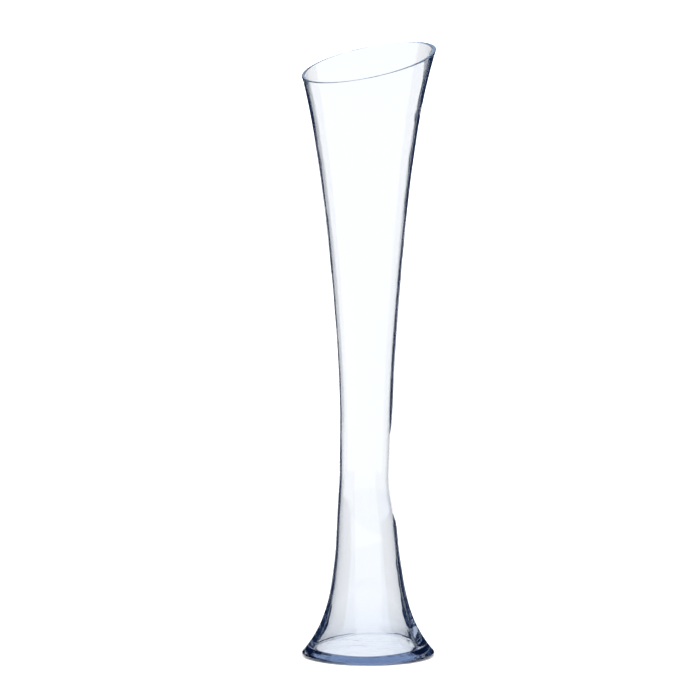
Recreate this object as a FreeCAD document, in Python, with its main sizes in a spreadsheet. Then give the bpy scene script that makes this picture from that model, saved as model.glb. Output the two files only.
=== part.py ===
"""Flower vase: a tall trumpet of clear blown glass with a narrow waist, a flared foot, a heavy flat
base and a mouth cut off at a slant.

The vase is one continuous piece of glass, so it is one body here: a wall profile turned about the
vase's axis, cut at the mouth and rounded at lip and foot.  It is then divided by level planes into
four zones, which meet face to face and are written as one node each:

    heavy_base      the solid disc of glass under the inside floor
    flared_foot     the wall that spreads from the waist down to the base
    waist           the slim tube in the middle
    trumpet_mouth   the wall that widens to the slanted lip

Millimetres, +Z up.  The origin is the centre of the flat underside, and the lip is highest at +X.
"""

import FreeCAD, Part
import math
import os
import Sketcher
from FreeCAD import Vector

# Driving dimensions.  A "wall" is the glass measured level, from the outside to the inside.
SIZES = [
    ("overall_height", 610.0, "table to the high side of the lip, before its edges are rounded"),
    ("lip_diameter", 142.6, "outside, where the lip is highest"),
    ("lip_slant", 14.0, "degrees between the lip's plane and level"),
    ("lip_rounding", 1.2, "radius that the flame leaves on both edges of the lip"),
    ("blank_height", 625.0, "upper end of the blown glass before the mouth is cut"),
    ("blank_diameter", 152.4, "outside, at the upper end of the blown glass"),
    ("blank_wall", 4.6, "glass at the upper end of the blown glass"),
    ("shoulder_height", 528.0, "where the long gentle flare turns into the mouth's flare"),
    ("shoulder_diameter", 105.0, "outside, at the shoulder"),
    ("shoulder_wall", 2.6, "glass at the shoulder"),
    ("waist_height", 198.0, "the slimmest part"),
    ("waist_diameter", 52.2, "outside, the slimmest part"),
    ("waist_wall", 2.6, "glass at the waist"),
    ("ankle_height", 58.0, "where the lower flare turns into the foot's flare"),
    ("ankle_diameter", 79.4, "outside, at the ankle"),
    ("ankle_wall", 3.8, "glass at the ankle"),
    ("foot_diameter", 139.4, "outside, where the foot's flare would meet the table in a sharp edge"),
    ("foot_rounding", 2.5, "radius of the foot's lower edge"),
    ("base_thickness", 5.0, "solid glass under the inside floor"),
    ("floor_diameter", 107.0, "the inside floor"),
    ("foot_zone_top", 112.0, "level plane between flared_foot and waist"),
    ("waist_zone_top", 400.0, "level plane between waist and trumpet_mouth"),
    ("clearance", 40.0, "how far the cutting shapes reach past the glass"),
]

# Each zone of the glass, with the sheet's cells for the level planes under and over it.
ZONES = [
    ("heavy_base", "-sizes.clearance", "sizes.base_thickness"),
    ("flared_foot", "sizes.base_thickness", "sizes.foot_zone_top"),
    ("waist", "sizes.foot_zone_top", "sizes.waist_zone_top"),
    ("trumpet_mouth", "sizes.waist_zone_top", "sizes.overall_height + sizes.clearance"),
]

# Sketcher's numbers for a sketch's origin, as a geometry and an end of it, and for an arc's centre.
SKETCH_ORIGIN = (-1, 1)
ARC_CENTRE = 3


def fill_sheet(doc):
    """Writes the driving dimensions to the document's spreadsheet, one aliased row for each."""
    sheet = doc.addObject("Spreadsheet::Sheet", "sizes")
    for row, (alias, value, meaning) in enumerate(SIZES, start=1):
        sheet.set(f"A{row}", alias)
        sheet.set(f"B{row}", str(value))
        sheet.setAlias(f"B{row}", alias)
        sheet.set(f"C{row}", meaning)
    doc.recompute()
    return sheet


def sketch_on_xz(body, name):
    """A new sketch of a body on the body's own upright XZ plane: sketch x is X, sketch y is Z."""
    plane = next(f for f in body.Origin.OriginFeatures if f.Role == "XZ_Plane")
    sketch = body.newObject("Sketcher::SketchObject", name)
    sketch.AttachmentSupport = [(plane, "")]
    sketch.MapMode = "FlatFace"
    return sketch


def bind(sketch, name, expression, kind, *where):
    """Adds a named dimension to a sketch and binds it to an expression (an angle's is in degrees)."""
    value = float(sketch.evalExpression(expression))
    if kind == "Angle":
        value = math.radians(value)
    index = sketch.addConstraint(Sketcher.Constraint(kind, *where, value))
    sketch.renameConstraint(index, name)
    sketch.setExpression(f"Constraints.{name}", expression)


def arc_chain(start, stations):
    """Arcs that run on, each tangent to the last, from station to station above or below the waist.

    The first arc leaves start upright.  Every centre lies outside the glass, because the vase only
    flares outwards from its waist.  Returns (centre, radius, from, to) for each arc.
    """
    arcs = []
    normal = Vector(1, 0, 0)
    for station in stations:
        chord = station - start
        radius = chord.dot(chord) / (2 * chord.dot(normal))
        centre = start + normal * radius
        arcs.append((centre, radius, start, station))
        normal = (centre - station) / radius
        start = station
    return arcs


def draw_arc(sketch, centre, radius, start, end):
    """Draws an arc and returns its two ends as (index, end number), start first."""
    angles = [math.atan2(p.y - centre.y, p.x - centre.x) % math.tau for p in (start, end)]
    circle = Part.Circle(centre, Vector(0, 0, 1), radius)
    index = sketch.addGeometry(Part.ArcOfCircle(circle, min(angles), max(angles)))
    return [(index, 1), (index, 2)] if angles[0] < angles[1] else [(index, 2), (index, 1)]


def draw_line(sketch, start, end):
    """Draws a line and returns its two ends as (index, end number), start first."""
    index = sketch.addGeometry(Part.LineSegment(start, end))
    return [(index, 1), (index, 2)]


def draw_wall_side(sketch, sheet, side, foot):
    """Draws the outside or the inside of the wall, and returns its top end and its foot end.

    Two tangent arcs rise from the waist and two drop from it.  The foot station is given as a
    point, and the caller ties it down.
    """
    radius = {}
    point = {"foot": foot}
    for station in ("blank", "shoulder", "waist", "ankle"):
        radius[station] = f"sizes.{station}_diameter / 2"
        number = getattr(sheet, f"{station}_diameter") / 2
        if side == "inside":
            radius[station] += f" - sizes.{station}_wall"
            number -= getattr(sheet, f"{station}_wall")
        point[station] = Vector(number, getattr(sheet, f"{station}_height"), 0)

    over = arc_chain(point["waist"], [point["shoulder"], point["blank"]])
    under = arc_chain(point["waist"], [point["ankle"], point["foot"]])
    body_arc, mouth_arc = [draw_arc(sketch, *arc) for arc in over]
    ankle_arc, foot_arc = [draw_arc(sketch, *arc) for arc in under]

    body_centre = (body_arc[0][0], ARC_CENTRE)
    sketch.addConstraint(Sketcher.Constraint("Horizontal", *body_centre, *body_arc[0]))
    for before, after in (
        (body_arc[0], ankle_arc[0]),
        (body_arc[1], mouth_arc[0]),
        (ankle_arc[1], foot_arc[0]),
    ):
        sketch.addConstraint(Sketcher.Constraint("Tangent", *before, *after))
    held = {
        "blank": mouth_arc[1],
        "shoulder": body_arc[1],
        "waist": body_arc[0],
        "ankle": ankle_arc[1],
    }
    for station, end in held.items():
        bind(sketch, f"{side}_{station}_radius", radius[station], "DistanceX", *SKETCH_ORIGIN, *end)
        height = f"sizes.{station}_height"
        bind(sketch, f"{side}_{station}_height", height, "DistanceY", *SKETCH_ORIGIN, *end)
    return mouth_arc[1], foot_arc[1]


def draw_wall(body, sheet):
    """The closed profile that is turned into the vase: base, outside, top edge, inside and floor."""
    sketch = sketch_on_xz(body, "wall_profile")
    foot_edge = Vector(sheet.foot_diameter / 2, 0, 0)
    floor_edge = Vector(sheet.floor_diameter / 2, sheet.base_thickness, 0)
    outside_top, outside_foot = draw_wall_side(sketch, sheet, "outside", foot_edge)
    inside_top, inside_foot = draw_wall_side(sketch, sheet, "inside", floor_edge)

    blank_radius = sheet.blank_diameter / 2
    outer_corner = Vector(blank_radius, sheet.blank_height, 0)
    inner_corner = Vector(blank_radius - sheet.blank_wall, sheet.blank_height, 0)
    floor_centre = Vector(0, sheet.base_thickness, 0)
    top = draw_line(sketch, outer_corner, inner_corner)
    floor = draw_line(sketch, floor_edge, floor_centre)
    axis = draw_line(sketch, floor_centre, Vector(0, 0, 0))
    underside = draw_line(sketch, Vector(0, 0, 0), foot_edge)
    for one, other in (
        (outside_top, top[0]),
        (top[1], inside_top),
        (inside_foot, floor[0]),
        (floor[1], axis[0]),
        (axis[1], underside[0]),
        (underside[1], outside_foot),
    ):
        sketch.addConstraint(Sketcher.Constraint("Coincident", *one, *other))
    sketch.addConstraint(Sketcher.Constraint("Coincident", *axis[1], *SKETCH_ORIGIN))
    sketch.addConstraint(Sketcher.Constraint("Vertical", axis[0][0]))
    sketch.addConstraint(Sketcher.Constraint("Horizontal", floor[0][0]))
    sketch.addConstraint(Sketcher.Constraint("Horizontal", underside[0][0]))
    bind(sketch, "foot_radius", "sizes.foot_diameter / 2", "DistanceX", *SKETCH_ORIGIN, *outside_foot)
    bind(sketch, "floor_radius", "sizes.floor_diameter / 2", "DistanceX", *SKETCH_ORIGIN, *inside_foot)
    bind(sketch, "floor_height", "sizes.base_thickness", "DistanceY", *SKETCH_ORIGIN, *inside_foot)
    return sketch


def turn_wall(doc, body, profile):
    """Turns the wall profile all the way round the vase's axis."""
    turned = body.newObject("PartDesign::Revolution", "blown_glass")
    turned.Profile = profile
    turned.ReferenceAxis = (profile, ["V_Axis"])
    turned.Angle = 360
    profile.Visibility = False
    doc.recompute()
    return turned


def cut_mouth(doc, body, sheet):
    """Cuts the mouth off along a plane that is highest at +X, where it meets the outside of the lip."""
    sketch = sketch_on_xz(body, "mouth_cut_profile")
    slant = math.radians(sheet.lip_slant)
    lip = Vector(sheet.lip_diameter / 2, sheet.overall_height, 0)
    reach = lip.x + sheet.clearance
    ceiling = sheet.blank_height + sheet.clearance
    low = Vector(-reach, lip.y - (lip.x + reach) * math.tan(slant), 0)
    high = Vector(reach, lip.y + (reach - lip.x) * math.tan(slant), 0)
    corners = [low, high, Vector(reach, ceiling, 0), Vector(-reach, ceiling, 0)]
    sides = [draw_line(sketch, a, b) for a, b in zip(corners, corners[1:] + corners[:1])]
    for side, following in zip(sides, sides[1:] + sides[:1]):
        sketch.addConstraint(Sketcher.Constraint("Coincident", *side[1], *following[0]))
    lip_line, right, top, left = [side[0][0] for side in sides]
    sketch.addConstraint(Sketcher.Constraint("Vertical", right))
    sketch.addConstraint(Sketcher.Constraint("Horizontal", top))
    sketch.addConstraint(Sketcher.Constraint("Vertical", left))

    lip_point = sketch.addGeometry(Part.Point(lip), True)
    sketch.addConstraint(Sketcher.Constraint("PointOnObject", lip_point, 1, lip_line))
    bind(sketch, "lip_radius", "sizes.lip_diameter / 2", "DistanceX", *SKETCH_ORIGIN, lip_point, 1)
    bind(sketch, "lip_height", "sizes.overall_height", "DistanceY", *SKETCH_ORIGIN, lip_point, 1)
    bind(sketch, "slant", "sizes.lip_slant", "Angle", lip_line)
    half_width = "sizes.lip_diameter / 2 + sizes.clearance"
    bind(sketch, "right_reach", half_width, "DistanceX", *SKETCH_ORIGIN, *sides[0][1])
    bind(sketch, "left_reach", half_width, "DistanceX", *sides[0][0], *SKETCH_ORIGIN)
    ceiling_height = "sizes.blank_height + sizes.clearance"
    bind(sketch, "ceiling", ceiling_height, "DistanceY", *SKETCH_ORIGIN, *sides[1][1])

    cut = body.newObject("PartDesign::Pocket", "mouth_cut")
    cut.Profile = sketch
    cut.SideType = "Symmetric"
    cut.Type = "Length"
    cut.setExpression("Length", f"2 * ({half_width})")
    sketch.Visibility = False
    doc.recompute()
    return cut


def round_edges(doc, body, base, name, radius, wanted):
    """Rounds the edges of a feature for which wanted(edge) is true."""
    names = [f"Edge{i}" for i, edge in enumerate(base.Shape.Edges, start=1) if wanted(edge)]
    rounded = body.newObject("PartDesign::Fillet", name)
    rounded.Base = (base, names)
    rounded.setExpression("Radius", radius)
    doc.recompute()
    return rounded


def lip_edges(shape):
    """The edges of the slanted face that the mouth's cut leaves."""
    slanted = [
        face
        for face in shape.Faces
        if isinstance(face.Surface, Part.Plane) and 0.1 < abs(face.Surface.Axis.z) < 0.999
    ]
    return [edge for face in slanted for edge in face.Edges]


def build_vessel(doc, sheet):
    """The whole vase as one body of glass."""
    body = doc.addObject("PartDesign::Body", "vessel")
    turned = turn_wall(doc, body, draw_wall(body, sheet))
    blank_volume = turned.Shape.Volume
    cut = cut_mouth(doc, body, sheet)
    if not cut.Shape.Volume < blank_volume:
        raise RuntimeError("the mouth's cut removed nothing")

    lip = lip_edges(cut.Shape)
    lip_rounded = round_edges(
        doc, body, cut, "lip_rounded", "sizes.lip_rounding",
        lambda edge: any(edge.isSame(other) for other in lip),
    )
    round_edges(
        doc, body, lip_rounded, "foot_rounded", "sizes.foot_rounding",
        lambda edge: edge.BoundBox.ZMax < 1e-3 and edge.BoundBox.XLength > sheet.floor_diameter,
    )
    return body


def divide_vessel(doc, vessel):
    """Divides the glass by level planes and returns one object for each zone."""
    zones = []
    for name, bottom, top in ZONES:
        slab = doc.addObject("Part::Cylinder", f"{name}_slab")
        slab.setExpression("Radius", "sizes.blank_diameter / 2 + sizes.clearance")
        slab.setExpression("Height", f"{top} - ({bottom})")
        slab.setExpression("Placement.Base.z", bottom)
        zone = doc.addObject("Part::Common", name)
        zone.Base = vessel
        zone.Tool = slab
        zone.Label = name
        zones.append(zone)
    doc.recompute()
    return zones


def check_document(doc, vessel, zones):
    """Stops before anything is written if an object failed, or the zones don't add up to the vase."""
    for item in doc.Objects:
        if {"Invalid", "Error"} & set(item.State):
            raise RuntimeError(f"{item.Name} failed: {item.State}")
    for zone in zones:
        if zone.Shape.isNull() or not zone.Shape.isValid() or len(zone.Shape.Solids) != 1:
            raise RuntimeError(f"{zone.Label} isn't one valid solid")
    whole = vessel.Shape.Volume
    if abs(sum(zone.Shape.Volume for zone in zones) - whole) > 1e-4 * whole:
        raise RuntimeError("the zones don't add up to the whole vase")


def write_parts(zones):
    """Writes each zone to its own STEP file, named after its label."""
    os.makedirs("parts", exist_ok=True)
    for zone in zones:
        zone.Shape.exportStep(f"parts/{zone.Label}.step")
        print(f"{zone.Label}: {zone.Shape.Volume / 1000:.1f} cm3, {zone.Shape.optimalBoundingBox()}")


document = FreeCAD.newDocument("flower_vase")
sizes = fill_sheet(document)
vase = build_vessel(document, sizes)
glass_zones = divide_vessel(document, vase)
check_document(document, vase, glass_zones)
write_parts(glass_zones)
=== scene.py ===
"""Flower vase: one piece of clear blown glass, a tall trumpet with a slant-cut mouth.

The file follows the vase as it is set up, made and shown: the camera, the blown glass, the glass as
a material, and the pale studio round it.
"""

import math

import bmesh
import bpy
from mathutils import Matrix, Vector


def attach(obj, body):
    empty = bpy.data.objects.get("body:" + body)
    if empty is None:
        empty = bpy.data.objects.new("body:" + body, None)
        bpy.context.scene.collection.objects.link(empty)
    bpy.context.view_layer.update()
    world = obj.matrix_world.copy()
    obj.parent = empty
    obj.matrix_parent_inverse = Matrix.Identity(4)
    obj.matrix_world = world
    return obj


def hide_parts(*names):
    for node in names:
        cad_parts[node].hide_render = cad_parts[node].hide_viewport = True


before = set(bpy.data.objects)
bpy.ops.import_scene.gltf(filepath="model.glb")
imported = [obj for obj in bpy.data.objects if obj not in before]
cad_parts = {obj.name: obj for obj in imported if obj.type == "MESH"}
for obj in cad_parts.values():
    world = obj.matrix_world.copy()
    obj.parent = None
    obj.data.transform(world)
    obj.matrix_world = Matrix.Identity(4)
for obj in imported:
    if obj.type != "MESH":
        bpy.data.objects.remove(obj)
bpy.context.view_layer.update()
scene = bpy.context.scene

# ---------------------------------------------------------------------------------------------
# Camera.  A long lens, well back and a little above the vase, turned so that the high side of the
# lip is to the right and slightly away.
# ---------------------------------------------------------------------------------------------
CAMERA_AZIMUTH = math.radians(-37.1)
CAMERA_PITCH = math.radians(7.31)
CAMERA_DISTANCE = 7.03
CAMERA_LENS_MM = 364.0
SENSOR_WIDTH_MM = 36.0
AIM_HEIGHT = 0.3067
AIM_TO_THE_LEFT = 0.0181

to_the_right = Vector((math.cos(CAMERA_AZIMUTH), math.sin(CAMERA_AZIMUTH), 0.0))
to_the_camera = Vector(
    (
        math.sin(CAMERA_AZIMUTH) * math.cos(CAMERA_PITCH),
        -math.cos(CAMERA_AZIMUTH) * math.cos(CAMERA_PITCH),
        math.sin(CAMERA_PITCH),
    )
)
camera_data = bpy.data.cameras.new("studio_camera")
camera_data.sensor_width = SENSOR_WIDTH_MM
camera_data.lens = CAMERA_LENS_MM
camera_data.clip_start = 0.1
camera_data.clip_end = 60.0
camera = bpy.data.objects.new("studio_camera", camera_data)
aim = Vector((0.0, 0.0, AIM_HEIGHT)) - to_the_right * AIM_TO_THE_LEFT
camera.location = aim + to_the_camera * CAMERA_DISTANCE
camera.rotation_euler = to_the_camera.to_track_quat("Z", "Y").to_euler()
scene.collection.objects.link(camera)
scene.camera = camera


# ---------------------------------------------------------------------------------------------
# Blown glass.  One gather of clear glass, blown out to a long trumpet, pressed flat at the foot, cut
# off at a slant and rounded in the flame at the lip.  Every level section is round: a chain of arcs
# for each side of the wall, and then the marks of the hand.
# ---------------------------------------------------------------------------------------------
VASE_SIZES = {
    "Lip radius": 0.0713,
    "Lip height": 0.6101,
    "Lip slope": math.tan(math.radians(14.0)),
    "Lip crown": 0.0013,
    "Blank radius": 0.0762,
    "Blank height": 0.6250,
    "Blank wall": 0.0046,
    "Shoulder radius": 0.0525,
    "Shoulder height": 0.5280,
    "Shoulder wall": 0.0026,
    "Waist radius": 0.0261,
    "Waist height": 0.1980,
    "Waist wall": 0.0026,
    "Ankle radius": 0.0397,
    "Ankle height": 0.0580,
    "Ankle wall": 0.0038,
    "Foot radius": 0.0697,
    "Foot rounding": 0.0025,
    "Floor radius": 0.0535,
    "Floor rounding": 0.0012,
    "Base thickness": 0.0050,
    "Underside hollow": 0.0006,
}
AROUND = 216
WALL_ROWS = 150
FLAT_ROWS = 34
FOOT_EDGE_ROWS = 10
LIP_ROWS = 16
FLOOR_CORNER_ROWS = 8
# Over 1, the rows of a wall lie closer together at the foot than at the mouth.
ROW_CROWDING = 1.25
WELD_GAP = 0.000004


class Field:
    """A number in a node tree.  Arithmetic on fields adds the tree's math nodes."""

    def __init__(self, tree, socket):
        self.tree = tree
        self.socket = socket

    def __add__(self, other):
        return calc(self.tree, "ADD", self, other)

    def __radd__(self, other):
        return calc(self.tree, "ADD", other, self)

    def __sub__(self, other):
        return calc(self.tree, "SUBTRACT", self, other)

    def __rsub__(self, other):
        return calc(self.tree, "SUBTRACT", other, self)

    def __mul__(self, other):
        return calc(self.tree, "MULTIPLY", self, other)

    def __rmul__(self, other):
        return calc(self.tree, "MULTIPLY", other, self)

    def __truediv__(self, other):
        return calc(self.tree, "DIVIDE", self, other)

    def __neg__(self):
        return calc(self.tree, "MULTIPLY", self, -1.0)


def calc(tree, operation, *values):
    """A math node on fields or plain numbers, as a field."""
    node = tree.nodes.new("ShaderNodeMath")
    node.operation = operation
    for slot, value in zip(node.inputs, values):
        if isinstance(value, Field):
            tree.links.new(value.socket, slot)
        else:
            slot.default_value = value
    return Field(tree, node.outputs[0])


def sine(angle):
    return calc(angle.tree, "SINE", angle)


def cosine(angle):
    return calc(angle.tree, "COSINE", angle)


def root(value):
    return calc(value.tree, "SQRT", value)


def greater(value, limit):
    """1 where the value is over the limit, and 0 elsewhere."""
    return calc(value.tree, "GREATER_THAN", value, limit)


def blend(low, high, share):
    return low + (high - low) * share


def step_up(value, start, end):
    """Rises smoothly from 0 to 1 as the value goes from start to end."""
    share = (value - start) / (end - start)
    held = calc(share.tree, "MINIMUM", calc(share.tree, "MAXIMUM", share, 0.0), 1.0)
    return held * held * (3.0 - 2.0 * held)


def hump(value, middle, reach):
    """1 at the middle, falling off smoothly to both sides."""
    share = (value - middle) / reach
    return calc(share.tree, "EXPONENT", -(share * share))


def arc_on(start, normal, end):
    """The circle that leaves start square to normal and passes end, as (centre r, centre z, radius)."""
    chord_r = end[0] - start[0]
    chord_z = end[1] - start[1]
    along_normal = chord_r * normal[0] + chord_z * normal[1]
    radius = (chord_r * chord_r + chord_z * chord_z) / (2.0 * along_normal)
    return start[0] + normal[0] * radius, start[1] + normal[1] * radius, radius


def square_to(circle, point):
    """The unit vector from a point of a circle to its centre."""
    return (circle[0] - point[0]) / circle[2], (circle[1] - point[1]) / circle[2]


def wall_arcs(size, side):
    """The four circles that one side of the wall follows: foot, ankle, body and mouth."""

    def station(name):
        radius = size[f"{name} radius"]
        if side == "inside":
            radius = radius - size[f"{name} wall"]
        return radius, size[f"{name} height"]

    foot = (size["Foot radius"], 0.0)
    if side == "inside":
        foot = (size["Floor radius"], size["Base thickness"])
    level = (1.0, 0.0)
    body_arc = arc_on(station("Waist"), level, station("Shoulder"))
    mouth_arc = arc_on(station("Shoulder"), square_to(body_arc, station("Shoulder")), station("Blank"))
    ankle_arc = arc_on(station("Waist"), level, station("Ankle"))
    foot_arc = arc_on(station("Ankle"), square_to(ankle_arc, station("Ankle")), foot)
    return foot_arc, ankle_arc, body_arc, mouth_arc


def circle_radius(circle, height):
    """How far from the vase's axis a circle that lies outside the glass is at some height."""
    rise = height - circle[1]
    return circle[0] - root(circle[2] * circle[2] - rise * rise)


def wall_radius(size, arcs, height):
    foot_arc, ankle_arc, body_arc, mouth_arc = arcs
    under = blend(
        circle_radius(foot_arc, height),
        circle_radius(ankle_arc, height),
        greater(height, size["Ankle height"]),
    )
    over = blend(
        circle_radius(body_arc, height),
        circle_radius(mouth_arc, height),
        greater(height, size["Shoulder height"]),
    )
    return blend(under, over, greater(height, size["Waist height"]))


def rim_height(size, mouth_arc, around):
    """Where one side of the wall meets the slanted plane of the mouth, all the way round."""
    height = size["Lip height"]
    for _ in range(4):
        radius = circle_radius(mouth_arc, height)
        height = size["Lip height"] - (size["Lip radius"] - radius * cosine(around)) * size["Lip slope"]
    return height - size["Lip crown"]


def corner_round(foot_arc, rest_height, rounding):
    """The small circle on a level face that also touches a wall's foot: (centre r, centre z, angle)."""
    centre_z = rest_height + rounding
    reach = foot_arc[2] + rounding
    drop = foot_arc[1] - centre_z
    centre_r = foot_arc[0] - root(reach * reach - drop * drop)
    angle = calc(drop.tree, "ARCTAN2", drop, foot_arc[0] - centre_r)
    return centre_r, centre_z, angle


def noise(tree, x, y, z, scale, seed, detail=2.0):
    """Smooth noise between about -1 and 1."""
    place = tree.nodes.new("ShaderNodeCombineXYZ")
    for slot, value in zip(place.inputs, (x, y, z)):
        tree.links.new(value.socket, slot)
    texture = tree.nodes.new("ShaderNodeTexNoise")
    texture.noise_dimensions = "4D"
    texture.inputs["W"].default_value = seed
    texture.inputs["Scale"].default_value = scale
    texture.inputs["Detail"].default_value = detail
    tree.links.new(place.outputs[0], texture.inputs["Vector"])
    return (Field(tree, texture.outputs[0]) - 0.5) * 3.0


def skin(tree, rows, inside_share, shape):
    """A sheet of the glass's surface.  shape(around, along) gives (radius, height) of its points."""
    grid = tree.nodes.new("GeometryNodeMeshGrid")
    grid.inputs["Size X"].default_value = 1.0
    grid.inputs["Size Y"].default_value = 1.0
    grid.inputs["Vertices X"].default_value = rows + 1
    grid.inputs["Vertices Y"].default_value = AROUND + 1
    here = tree.nodes.new("GeometryNodeInputPosition")
    split = tree.nodes.new("ShaderNodeSeparateXYZ")
    tree.links.new(here.outputs[0], split.inputs[0])
    along = Field(tree, split.outputs[0]) + 0.5
    around = (Field(tree, split.outputs[1]) + 0.5) * math.tau
    radius, height = shape(around, along)

    place = tree.nodes.new("ShaderNodeCombineXYZ")
    for slot, value in zip(place.inputs, (radius * cosine(around), radius * sine(around), height)):
        tree.links.new(value.socket, slot)
    note = tree.nodes.new("GeometryNodeStoreNamedAttribute")
    note.data_type = "FLOAT"
    note.domain = "POINT"
    note.inputs["Name"].default_value = "inside_share"
    tree.links.new(grid.outputs[0], note.inputs["Geometry"])
    tree.links.new(inside_share(along).socket, note.inputs["Value"])
    move = tree.nodes.new("GeometryNodeSetPosition")
    tree.links.new(note.outputs[0], move.inputs["Geometry"])
    tree.links.new(place.outputs[0], move.inputs["Position"])
    return move.outputs[0]


def float_curve(value, points):
    """A smooth curve through (x, y) points, both 0 to 1."""
    node = value.tree.nodes.new("ShaderNodeFloatCurve")
    curve = node.mapping.curves[0]
    for point, (x, y) in zip(curve.points, (points[0], points[-1])):
        point.location = (x, y)
    for x, y in points[1:-1]:
        curve.points.new(x, y)
    node.mapping.update()
    value.tree.links.new(value.socket, node.inputs["Value"])
    return Field(value.tree, node.outputs[0])


# How far the axis wanders to the left, in parts of LEAN_UNIT, against parts of LEAN_HEIGHT.
LEAN_UNIT = 0.004
LEAN_HEIGHT = 0.61
LEAN = [
    (0.00, 0.00), (0.08, 0.06), (0.18, 0.25), (0.25, 0.62), (0.29, 0.78), (0.33, 0.72), (0.38, 0.56),
    (0.44, 0.45), (0.58, 0.45), (0.65, 0.53), (0.73, 0.61), (0.82, 0.68), (0.92, 0.74), (1.00, 0.76),
]
# Low swellings of the wall, as (height, reach up and down, how far out).
SWELLS = [
    (0.072, 0.014, -0.0003),
    (0.136, 0.024, 0.0011),
    (0.180, 0.014, -0.0004),
    (0.370, 0.090, 0.0010),
]
DENT_HEIGHT = 0.1715
DENT_REACH = 0.0140
DENT_DEPTH = 0.0006
# How far the inside sits to the left of the outside, in parts of OFF_CENTRE_UNIT, against parts of
# LEAN_HEIGHT.  The right wall is thick at the foot for it, and the left wall thin.
OFF_CENTRE_UNIT = 0.0018
OFF_CENTRE = [
    (0.00, 1.00), (0.02, 0.85), (0.04, 0.36), (0.06, 0.12), (0.10, 0.06), (0.18, 0.03),
    (0.30, 0.06), (0.42, 0.20), (0.50, 0.26), (0.58, 0.14), (0.70, 0.01), (1.00, 0.00),
]
# The inside bulges out a little above the ankle, so the wall is thinner there.
THIN_HEIGHT = 0.080
THIN_REACH = 0.045
THIN_DEPTH = 0.0004
NICK_HEIGHT = 0.5415
NICK_REACH = 0.0045
NICK_DEPTH = 0.0003
RIPPLE_DEPTH = 0.00016
RIPPLE_SCALE = 34.0
RIPPLE_SEED = 3.1
WAVE_DEPTH = 0.00030
WAVE_SCALE = 42.0
WAVE_SEED = 5.5
STREAK_DEPTH = 0.00042
STREAK_SCALE = 95.0
STREAK_SEED = 7.7


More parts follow.
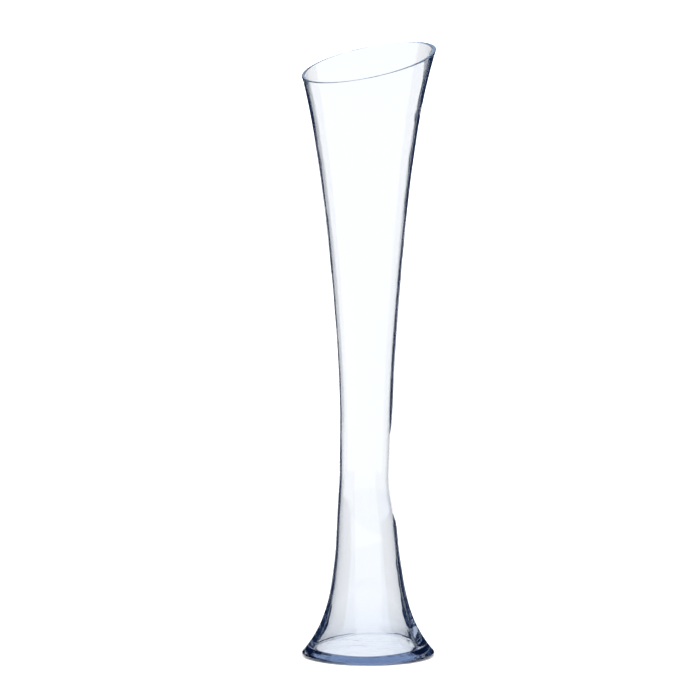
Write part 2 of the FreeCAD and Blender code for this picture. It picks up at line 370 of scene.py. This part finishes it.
def vase_tree():
    tree = bpy.data.node_groups.new("blown_vase", "GeometryNodeTree")
    interface = tree.interface
    interface.new_socket("Geometry", in_out="INPUT", socket_type="NodeSocketGeometry")
    interface.new_socket("Geometry", in_out="OUTPUT", socket_type="NodeSocketGeometry")
    for name in VASE_SIZES:
        interface.new_socket(name, in_out="INPUT", socket_type="NodeSocketFloat")
    interface.new_socket("Material", in_out="INPUT", socket_type="NodeSocketMaterial")
    given = tree.nodes.new("NodeGroupInput")
    size = {name: Field(tree, given.outputs[name]) for name in VASE_SIZES}

    outside = wall_arcs(size, "outside")
    inside = wall_arcs(size, "inside")
    foot_r, foot_z, foot_angle = corner_round(outside[0], 0.0, size["Foot rounding"])
    floor_r, floor_z, floor_angle = corner_round(
        inside[0], size["Base thickness"], size["Floor rounding"]
    )
    foot_top = foot_z + size["Foot rounding"] * sine(foot_angle)
    floor_top = floor_z + size["Floor rounding"] * sine(floor_angle)
    down = -0.5 * math.pi

    def underside(around, along):
        return foot_r * along, size["Underside hollow"] * step_up(along, 0.93, 0.80)

    def foot_edge(around, along):
        angle = blend(down, foot_angle, along)
        return foot_r + size["Foot rounding"] * cosine(angle), foot_z + size["Foot rounding"] * sine(angle)

    def outside_wall(around, along):
        rim = rim_height(size, outside[3], around)
        height = blend(foot_top, rim, calc(tree, "POWER", along, ROW_CROWDING))
        return wall_radius(size, outside, height), height

    def lip(around, along):
        outer_z = rim_height(size, outside[3], around)
        inner_z = rim_height(size, inside[3], around)
        outer_r = circle_radius(outside[3], outer_z)
        inner_r = circle_radius(inside[3], inner_z)
        inward, droop = square_to(outside[3], (outer_r, outer_z))
        turn = along * math.pi
        crown = size["Lip crown"] * calc(tree, "POWER", calc(tree, "ABSOLUTE", sine(turn)), 0.5)
        swing = cosine(turn)
        fullness = calc(tree, "POWER", calc(tree, "ABSOLUTE", swing), 0.5)
        across = 0.5 + 0.5 * fullness * calc(tree, "SIGN", swing)
        radius = blend(inner_r, outer_r, across) - crown * droop
        height = blend(inner_z, outer_z, across) + crown * inward
        return radius, height

    def inside_wall(around, along):
        rim = rim_height(size, inside[3], around)
        height = blend(floor_top, rim, calc(tree, "POWER", 1.0 - along, ROW_CROWDING))
        return wall_radius(size, inside, height), height

    def floor_corner(around, along):
        angle = blend(floor_angle, down, along)
        return (
            floor_r + size["Floor rounding"] * cosine(angle),
            floor_z + size["Floor rounding"] * sine(angle),
        )

    def floor(around, along):
        return floor_r * (1.0 - along), size["Base thickness"] + along * 0.0

    join = tree.nodes.new("GeometryNodeJoinGeometry")
    sheets = [
        (FLAT_ROWS, lambda along: along * 0.0, underside),
        (FOOT_EDGE_ROWS, lambda along: along * 0.0, foot_edge),
        (WALL_ROWS, lambda along: along * 0.0, outside_wall),
        (LIP_ROWS, lambda along: step_up(along, 0.0, 1.0), lip),
        (WALL_ROWS, lambda along: along * 0.0 + 1.0, inside_wall),
        (FLOOR_CORNER_ROWS, lambda along: along * 0.0 + 1.0, floor_corner),
        (FLAT_ROWS, lambda along: along * 0.0 + 1.0, floor),
    ]
    for rows, inside_share, shape in reversed(sheets):
        tree.links.new(skin(tree, rows, inside_share, shape), join.inputs[0])
    weld = tree.nodes.new("GeometryNodeMergeByDistance")
    weld.inputs["Distance"].default_value = WELD_GAP
    tree.links.new(join.outputs[0], weld.inputs["Geometry"])

    here = tree.nodes.new("GeometryNodeInputPosition")
    split = tree.nodes.new("ShaderNodeSeparateXYZ")
    tree.links.new(here.outputs[0], split.inputs[0])
    x, y, z = [Field(tree, split.outputs[i]) for i in range(3)]
    share = tree.nodes.new("GeometryNodeInputNamedAttribute")
    share.data_type = "FLOAT"
    share.inputs["Name"].default_value = "inside_share"
    within = Field(tree, share.outputs[0])

    radius = root(x * x + y * y) + 0.000001
    out_x = x / radius
    out_y = y / radius
    rightness = out_x * to_the_right.x + out_y * to_the_right.y
    lean = float_curve(z / LEAN_HEIGHT, LEAN) * LEAN_UNIT
    on_wall = step_up(z, 0.004, 0.030)

    ripple = (
        noise(tree, x, y, z * 0.55, RIPPLE_SCALE, RIPPLE_SEED)
        * RIPPLE_DEPTH
        * (0.35 + 0.65 * within)
    )
    dent_side = hump(rightness, 1.0, 0.55)
    dent = hump(z, DENT_HEIGHT, DENT_REACH) * dent_side * DENT_DEPTH
    nick = hump(z, NICK_HEIGHT, NICK_REACH) * hump(rightness, 1.0, 0.25) * within * NICK_DEPTH
    lean = lean + float_curve(z / LEAN_HEIGHT, OFF_CENTRE) * within * OFF_CENTRE_UNIT
    streaks = (
        noise(tree, x, y, z * 0.45, STREAK_SCALE, STREAK_SEED, 3.0)
        * step_up(rightness, 0.1, 0.8)
        * step_up(z, 0.022, 0.010)
        * step_up(z, 0.0060, 0.0115)
        * within
        * STREAK_DEPTH
    )
    swell = z * 0.0
    for height, reach, out in SWELLS:
        swell = swell + hump(z, height, reach) * out
    thin = hump(z, THIN_HEIGHT, THIN_REACH) * within * THIN_DEPTH
    push = (ripple + swell + thin - dent - nick) * on_wall + streaks
    floor_share = within * step_up(z, 0.0115, 0.0060) * step_up(radius, 0.052, 0.040)
    lift = noise(tree, x, y, z, WAVE_SCALE, WAVE_SEED) * floor_share * WAVE_DEPTH

    shift = tree.nodes.new("ShaderNodeCombineXYZ")
    moves = (out_x * push - lean * to_the_right.x, out_y * push - lean * to_the_right.y, lift)
    for slot, value in zip(shift.inputs, moves):
        tree.links.new(value.socket, slot)
    hand = tree.nodes.new("GeometryNodeSetPosition")
    tree.links.new(weld.outputs[0], hand.inputs["Geometry"])
    tree.links.new(shift.outputs[0], hand.inputs["Offset"])

    shade = tree.nodes.new("GeometryNodeSetShadeSmooth")
    realize = tree.nodes.new("GeometryNodeRealizeInstances")
    paint = tree.nodes.new("GeometryNodeSetMaterial")
    result = tree.nodes.new("NodeGroupOutput")
    tree.links.new(hand.outputs[0], shade.inputs["Geometry"])
    tree.links.new(shade.outputs[0], realize.inputs["Geometry"])
    tree.links.new(realize.outputs[0], paint.inputs["Geometry"])
    tree.links.new(given.outputs["Material"], paint.inputs["Material"])
    tree.links.new(paint.outputs[0], result.inputs["Geometry"])
    return tree


# The glass as a material.  Clear soda glass with a faint cold blue in its thickness.  Its skin is
# nearly perfect: very slow ripples from blowing, and a breath of haze here and there.
GLASS_IOR = 1.5
GLASS_TINT = (0.52, 0.615, 0.767)
GLASS_DENSITY = 30.0


def glass_material():
    material = bpy.data.materials.new("clear_blown_glass")
    material.use_nodes = True
    nodes = material.node_tree.nodes
    links = material.node_tree.links
    shader = nodes["Principled BSDF"]
    shader.inputs["Base Color"].default_value = (0.985, 0.992, 1.0, 1.0)
    shader.inputs["IOR"].default_value = GLASS_IOR
    shader.inputs["Transmission Weight"].default_value = 1.0

    place = nodes.new("ShaderNodeTexCoord")
    haze = nodes.new("ShaderNodeTexNoise")
    haze.inputs["Scale"].default_value = 28.0
    haze.inputs["Detail"].default_value = 4.0
    links.new(place.outputs["Object"], haze.inputs["Vector"])
    haze_range = nodes.new("ShaderNodeMapRange")
    haze_range.inputs["From Min"].default_value = 0.55
    haze_range.inputs["From Max"].default_value = 0.75
    haze_range.inputs["To Min"].default_value = 0.0
    haze_range.inputs["To Max"].default_value = 0.03
    links.new(haze.outputs[0], haze_range.inputs["Value"])
    links.new(haze_range.outputs[0], shader.inputs["Roughness"])

    stretch = nodes.new("ShaderNodeMapping")
    stretch.inputs["Scale"].default_value = (1.0, 1.0, 0.25)
    links.new(place.outputs["Object"], stretch.inputs["Vector"])
    draw_marks = nodes.new("ShaderNodeTexNoise")
    draw_marks.inputs["Scale"].default_value = 90.0
    draw_marks.inputs["Detail"].default_value = 2.0
    links.new(stretch.outputs[0], draw_marks.inputs["Vector"])
    bump = nodes.new("ShaderNodeBump")
    bump.inputs["Strength"].default_value = 0.15
    bump.inputs["Distance"].default_value = 0.0004
    links.new(draw_marks.outputs[0], bump.inputs["Height"])
    links.new(bump.outputs[0], shader.inputs["Normal"])

    body = nodes.new("ShaderNodeVolumeAbsorption")
    body.inputs["Color"].default_value = (*GLASS_TINT, 1.0)
    body.inputs["Density"].default_value = GLASS_DENSITY
    links.new(body.outputs[0], nodes["Material Output"].inputs["Volume"])
    return material


glass = glass_material()
tree = vase_tree()
maker = bpy.data.objects.new("vase_maker", bpy.data.meshes.new("vase_maker"))
scene.collection.objects.link(maker)
growth = maker.modifiers.new("blown_vase", "NODES")
growth.node_group = tree
named = {item.name: item.identifier for item in tree.interface.items_tree if item.in_out == "INPUT"}
for name, value in VASE_SIZES.items():
    growth[named[name]] = value
growth[named["Material"]] = glass
evaluated = maker.evaluated_get(bpy.context.evaluated_depsgraph_get())
vase_mesh = bpy.data.meshes.new_from_object(evaluated)
vase_mesh.name = "blown_glass_vase"
bpy.data.objects.remove(maker)

surface = bmesh.new()
surface.from_mesh(vase_mesh)
bmesh.ops.recalc_face_normals(surface, faces=surface.faces)
if surface.calc_volume(signed=True) < 0:
    bmesh.ops.reverse_faces(surface, faces=surface.faces)
surface.to_mesh(vase_mesh)
surface.free()
vase_mesh.attributes.remove(vase_mesh.attributes["inside_share"])
vase = bpy.data.objects.new("blown_glass_vase", vase_mesh)
scene.collection.objects.link(vase)
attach(vase, "root")
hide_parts("heavy_base", "flared_foot", "waist", "trumpet_mouth")

# ---------------------------------------------------------------------------------------------
# Studio.  A white sweep lit evenly from all round, and a dark card on each side, unseen by the
# camera itself.  The cards draw dark lines along the glass's edges for the studio camera's view.
# ---------------------------------------------------------------------------------------------
FLOOR_DROP = 0.0003
FLOOR_REACH = 30.0
WORLD_LIGHT = 2.20
SEEN_WHITE = 1.05
MIRRORED_TINT = (0.80, 1.08, 1.55, 1.0)

floor_mesh = bpy.data.meshes.new("studio_floor")
floor_mesh.from_pydata(
    [(x, y, -FLOOR_DROP) for x, y in ((-1, -1), (1, -1), (1, 1), (-1, 1))], [], [(0, 1, 2, 3)]
)
floor_mesh.transform(Matrix.Diagonal((FLOOR_REACH, FLOOR_REACH, 1, 1)))
studio_floor = bpy.data.objects.new("studio_floor", floor_mesh)
scene.collection.objects.link(studio_floor)
floor_paint = bpy.data.materials.new("studio_white")
floor_paint.use_nodes = True
floor_shader = floor_paint.node_tree.nodes["Principled BSDF"]
floor_shader.inputs["Base Color"].default_value = (0.92, 0.92, 0.92, 1.0)
floor_shader.inputs["Roughness"].default_value = 1.0
floor_shader.inputs["Specular IOR Level"].default_value = 0.0
floor_mesh.materials.append(floor_paint)
# Light that has passed through the glass doesn't see the floor.
studio_floor.visible_transmission = False

# The surroundings look plain white, light the floor more strongly than they look, and are tinted
# cold where the glass mirrors them.
world = bpy.data.worlds.new("studio_light")
scene.world = world
world.use_nodes = True
sky = world.node_tree.nodes["Background"]
ray = world.node_tree.nodes.new("ShaderNodeLightPath")
strength = world.node_tree.nodes.new("ShaderNodeMix")
strength.inputs["A"].default_value = SEEN_WHITE
strength.inputs["B"].default_value = WORLD_LIGHT
world.node_tree.links.new(ray.outputs["Is Diffuse Ray"], strength.inputs["Factor"])
world.node_tree.links.new(strength.outputs["Result"], sky.inputs["Strength"])
sky_colour = world.node_tree.nodes.new("ShaderNodeMix")
sky_colour.data_type = "RGBA"
sky_colour.inputs["A"].default_value = (1.0, 1.0, 1.0, 1.0)
sky_colour.inputs["B"].default_value = MIRRORED_TINT
through = Field(world.node_tree, ray.outputs["Is Transmission Ray"])
mirrored = Field(world.node_tree, ray.outputs["Is Glossy Ray"]) * (1.0 - through)
world.node_tree.links.new(mirrored.socket, sky_colour.inputs["Factor"])
world.node_tree.links.new(sky_colour.outputs["Result"], sky.inputs["Color"])

# Each card is a plain sheet of one dark colour, fixed to the camera, so its line isn't part of the
# vase and is dark only from the studio camera's own distance.  The further back a card reaches, the
# wider its line: both are longer at the foot and the mouth, and the right one has a notch.
CARD_COLOUR = (0.010, 0.022, 0.060, 1.0)
CARD_ASIDE = 0.20
CARD_HEIGHT = 0.95
CARD_STEPS = 76
CARD_REACH = 0.41
CARD_DOUBLED_AT = 0.31
CARD_NEAR = 0.07
CARD_NEAR_AT_FOOT = -0.10
CARD_FOOT_HEIGHT = -0.17
CARD_NOTCH_HEIGHT = -0.121
CARD_NOTCH_HALF = 0.030
CARD_NOTCH_REACH = 0.17

card_paint = bpy.data.materials.new("dark_card")
card_paint.use_nodes = True
card_tree = card_paint.node_tree
card_tree.nodes.remove(card_tree.nodes["Principled BSDF"])
glow = card_tree.nodes.new("ShaderNodeEmission")
glow.inputs["Color"].default_value = CARD_COLOUR
card_tree.links.new(glow.outputs[0], card_tree.nodes["Material Output"].inputs["Surface"])

for side, name in ((-1, "left_card"), (1, "right_card")):
    corners = []
    for step in range(CARD_STEPS + 1):
        height = CARD_HEIGHT * (2.0 * step / CARD_STEPS - 1.0)
        level = max(-1.0, min(1.0, height / CARD_DOUBLED_AT))
        near = CARD_NEAR if height > CARD_FOOT_HEIGHT else CARD_NEAR_AT_FOOT
        far = CARD_REACH * (1.0 + level * level)
        if side > 0 and abs(height - CARD_NOTCH_HEIGHT) < CARD_NOTCH_HALF:
            far = CARD_NOTCH_REACH
        corners.append((side * CARD_ASIDE, height, -CAMERA_DISTANCE - near))
        corners.append((side * CARD_ASIDE, height, -CAMERA_DISTANCE - far))
    strips = [(i, i + 1, i + 3, i + 2) for i in range(0, 2 * CARD_STEPS, 2)]
    card_mesh = bpy.data.meshes.new(name)
    card_mesh.from_pydata(corners, [], strips)
    card_mesh.materials.append(card_paint)
    card = bpy.data.objects.new(name, card_mesh)
    scene.collection.objects.link(card)
    card.parent = camera
    card.visible_camera = False
    card.visible_diffuse = False
    card.visible_shadow = False

scene.view_settings.view_transform = "Standard"
scene.cycles.max_bounces = 32
scene.cycles.transmission_bounces = 32
scene.cycles.glossy_bounces = 16
scene.cycles.transparent_max_bounces = 16
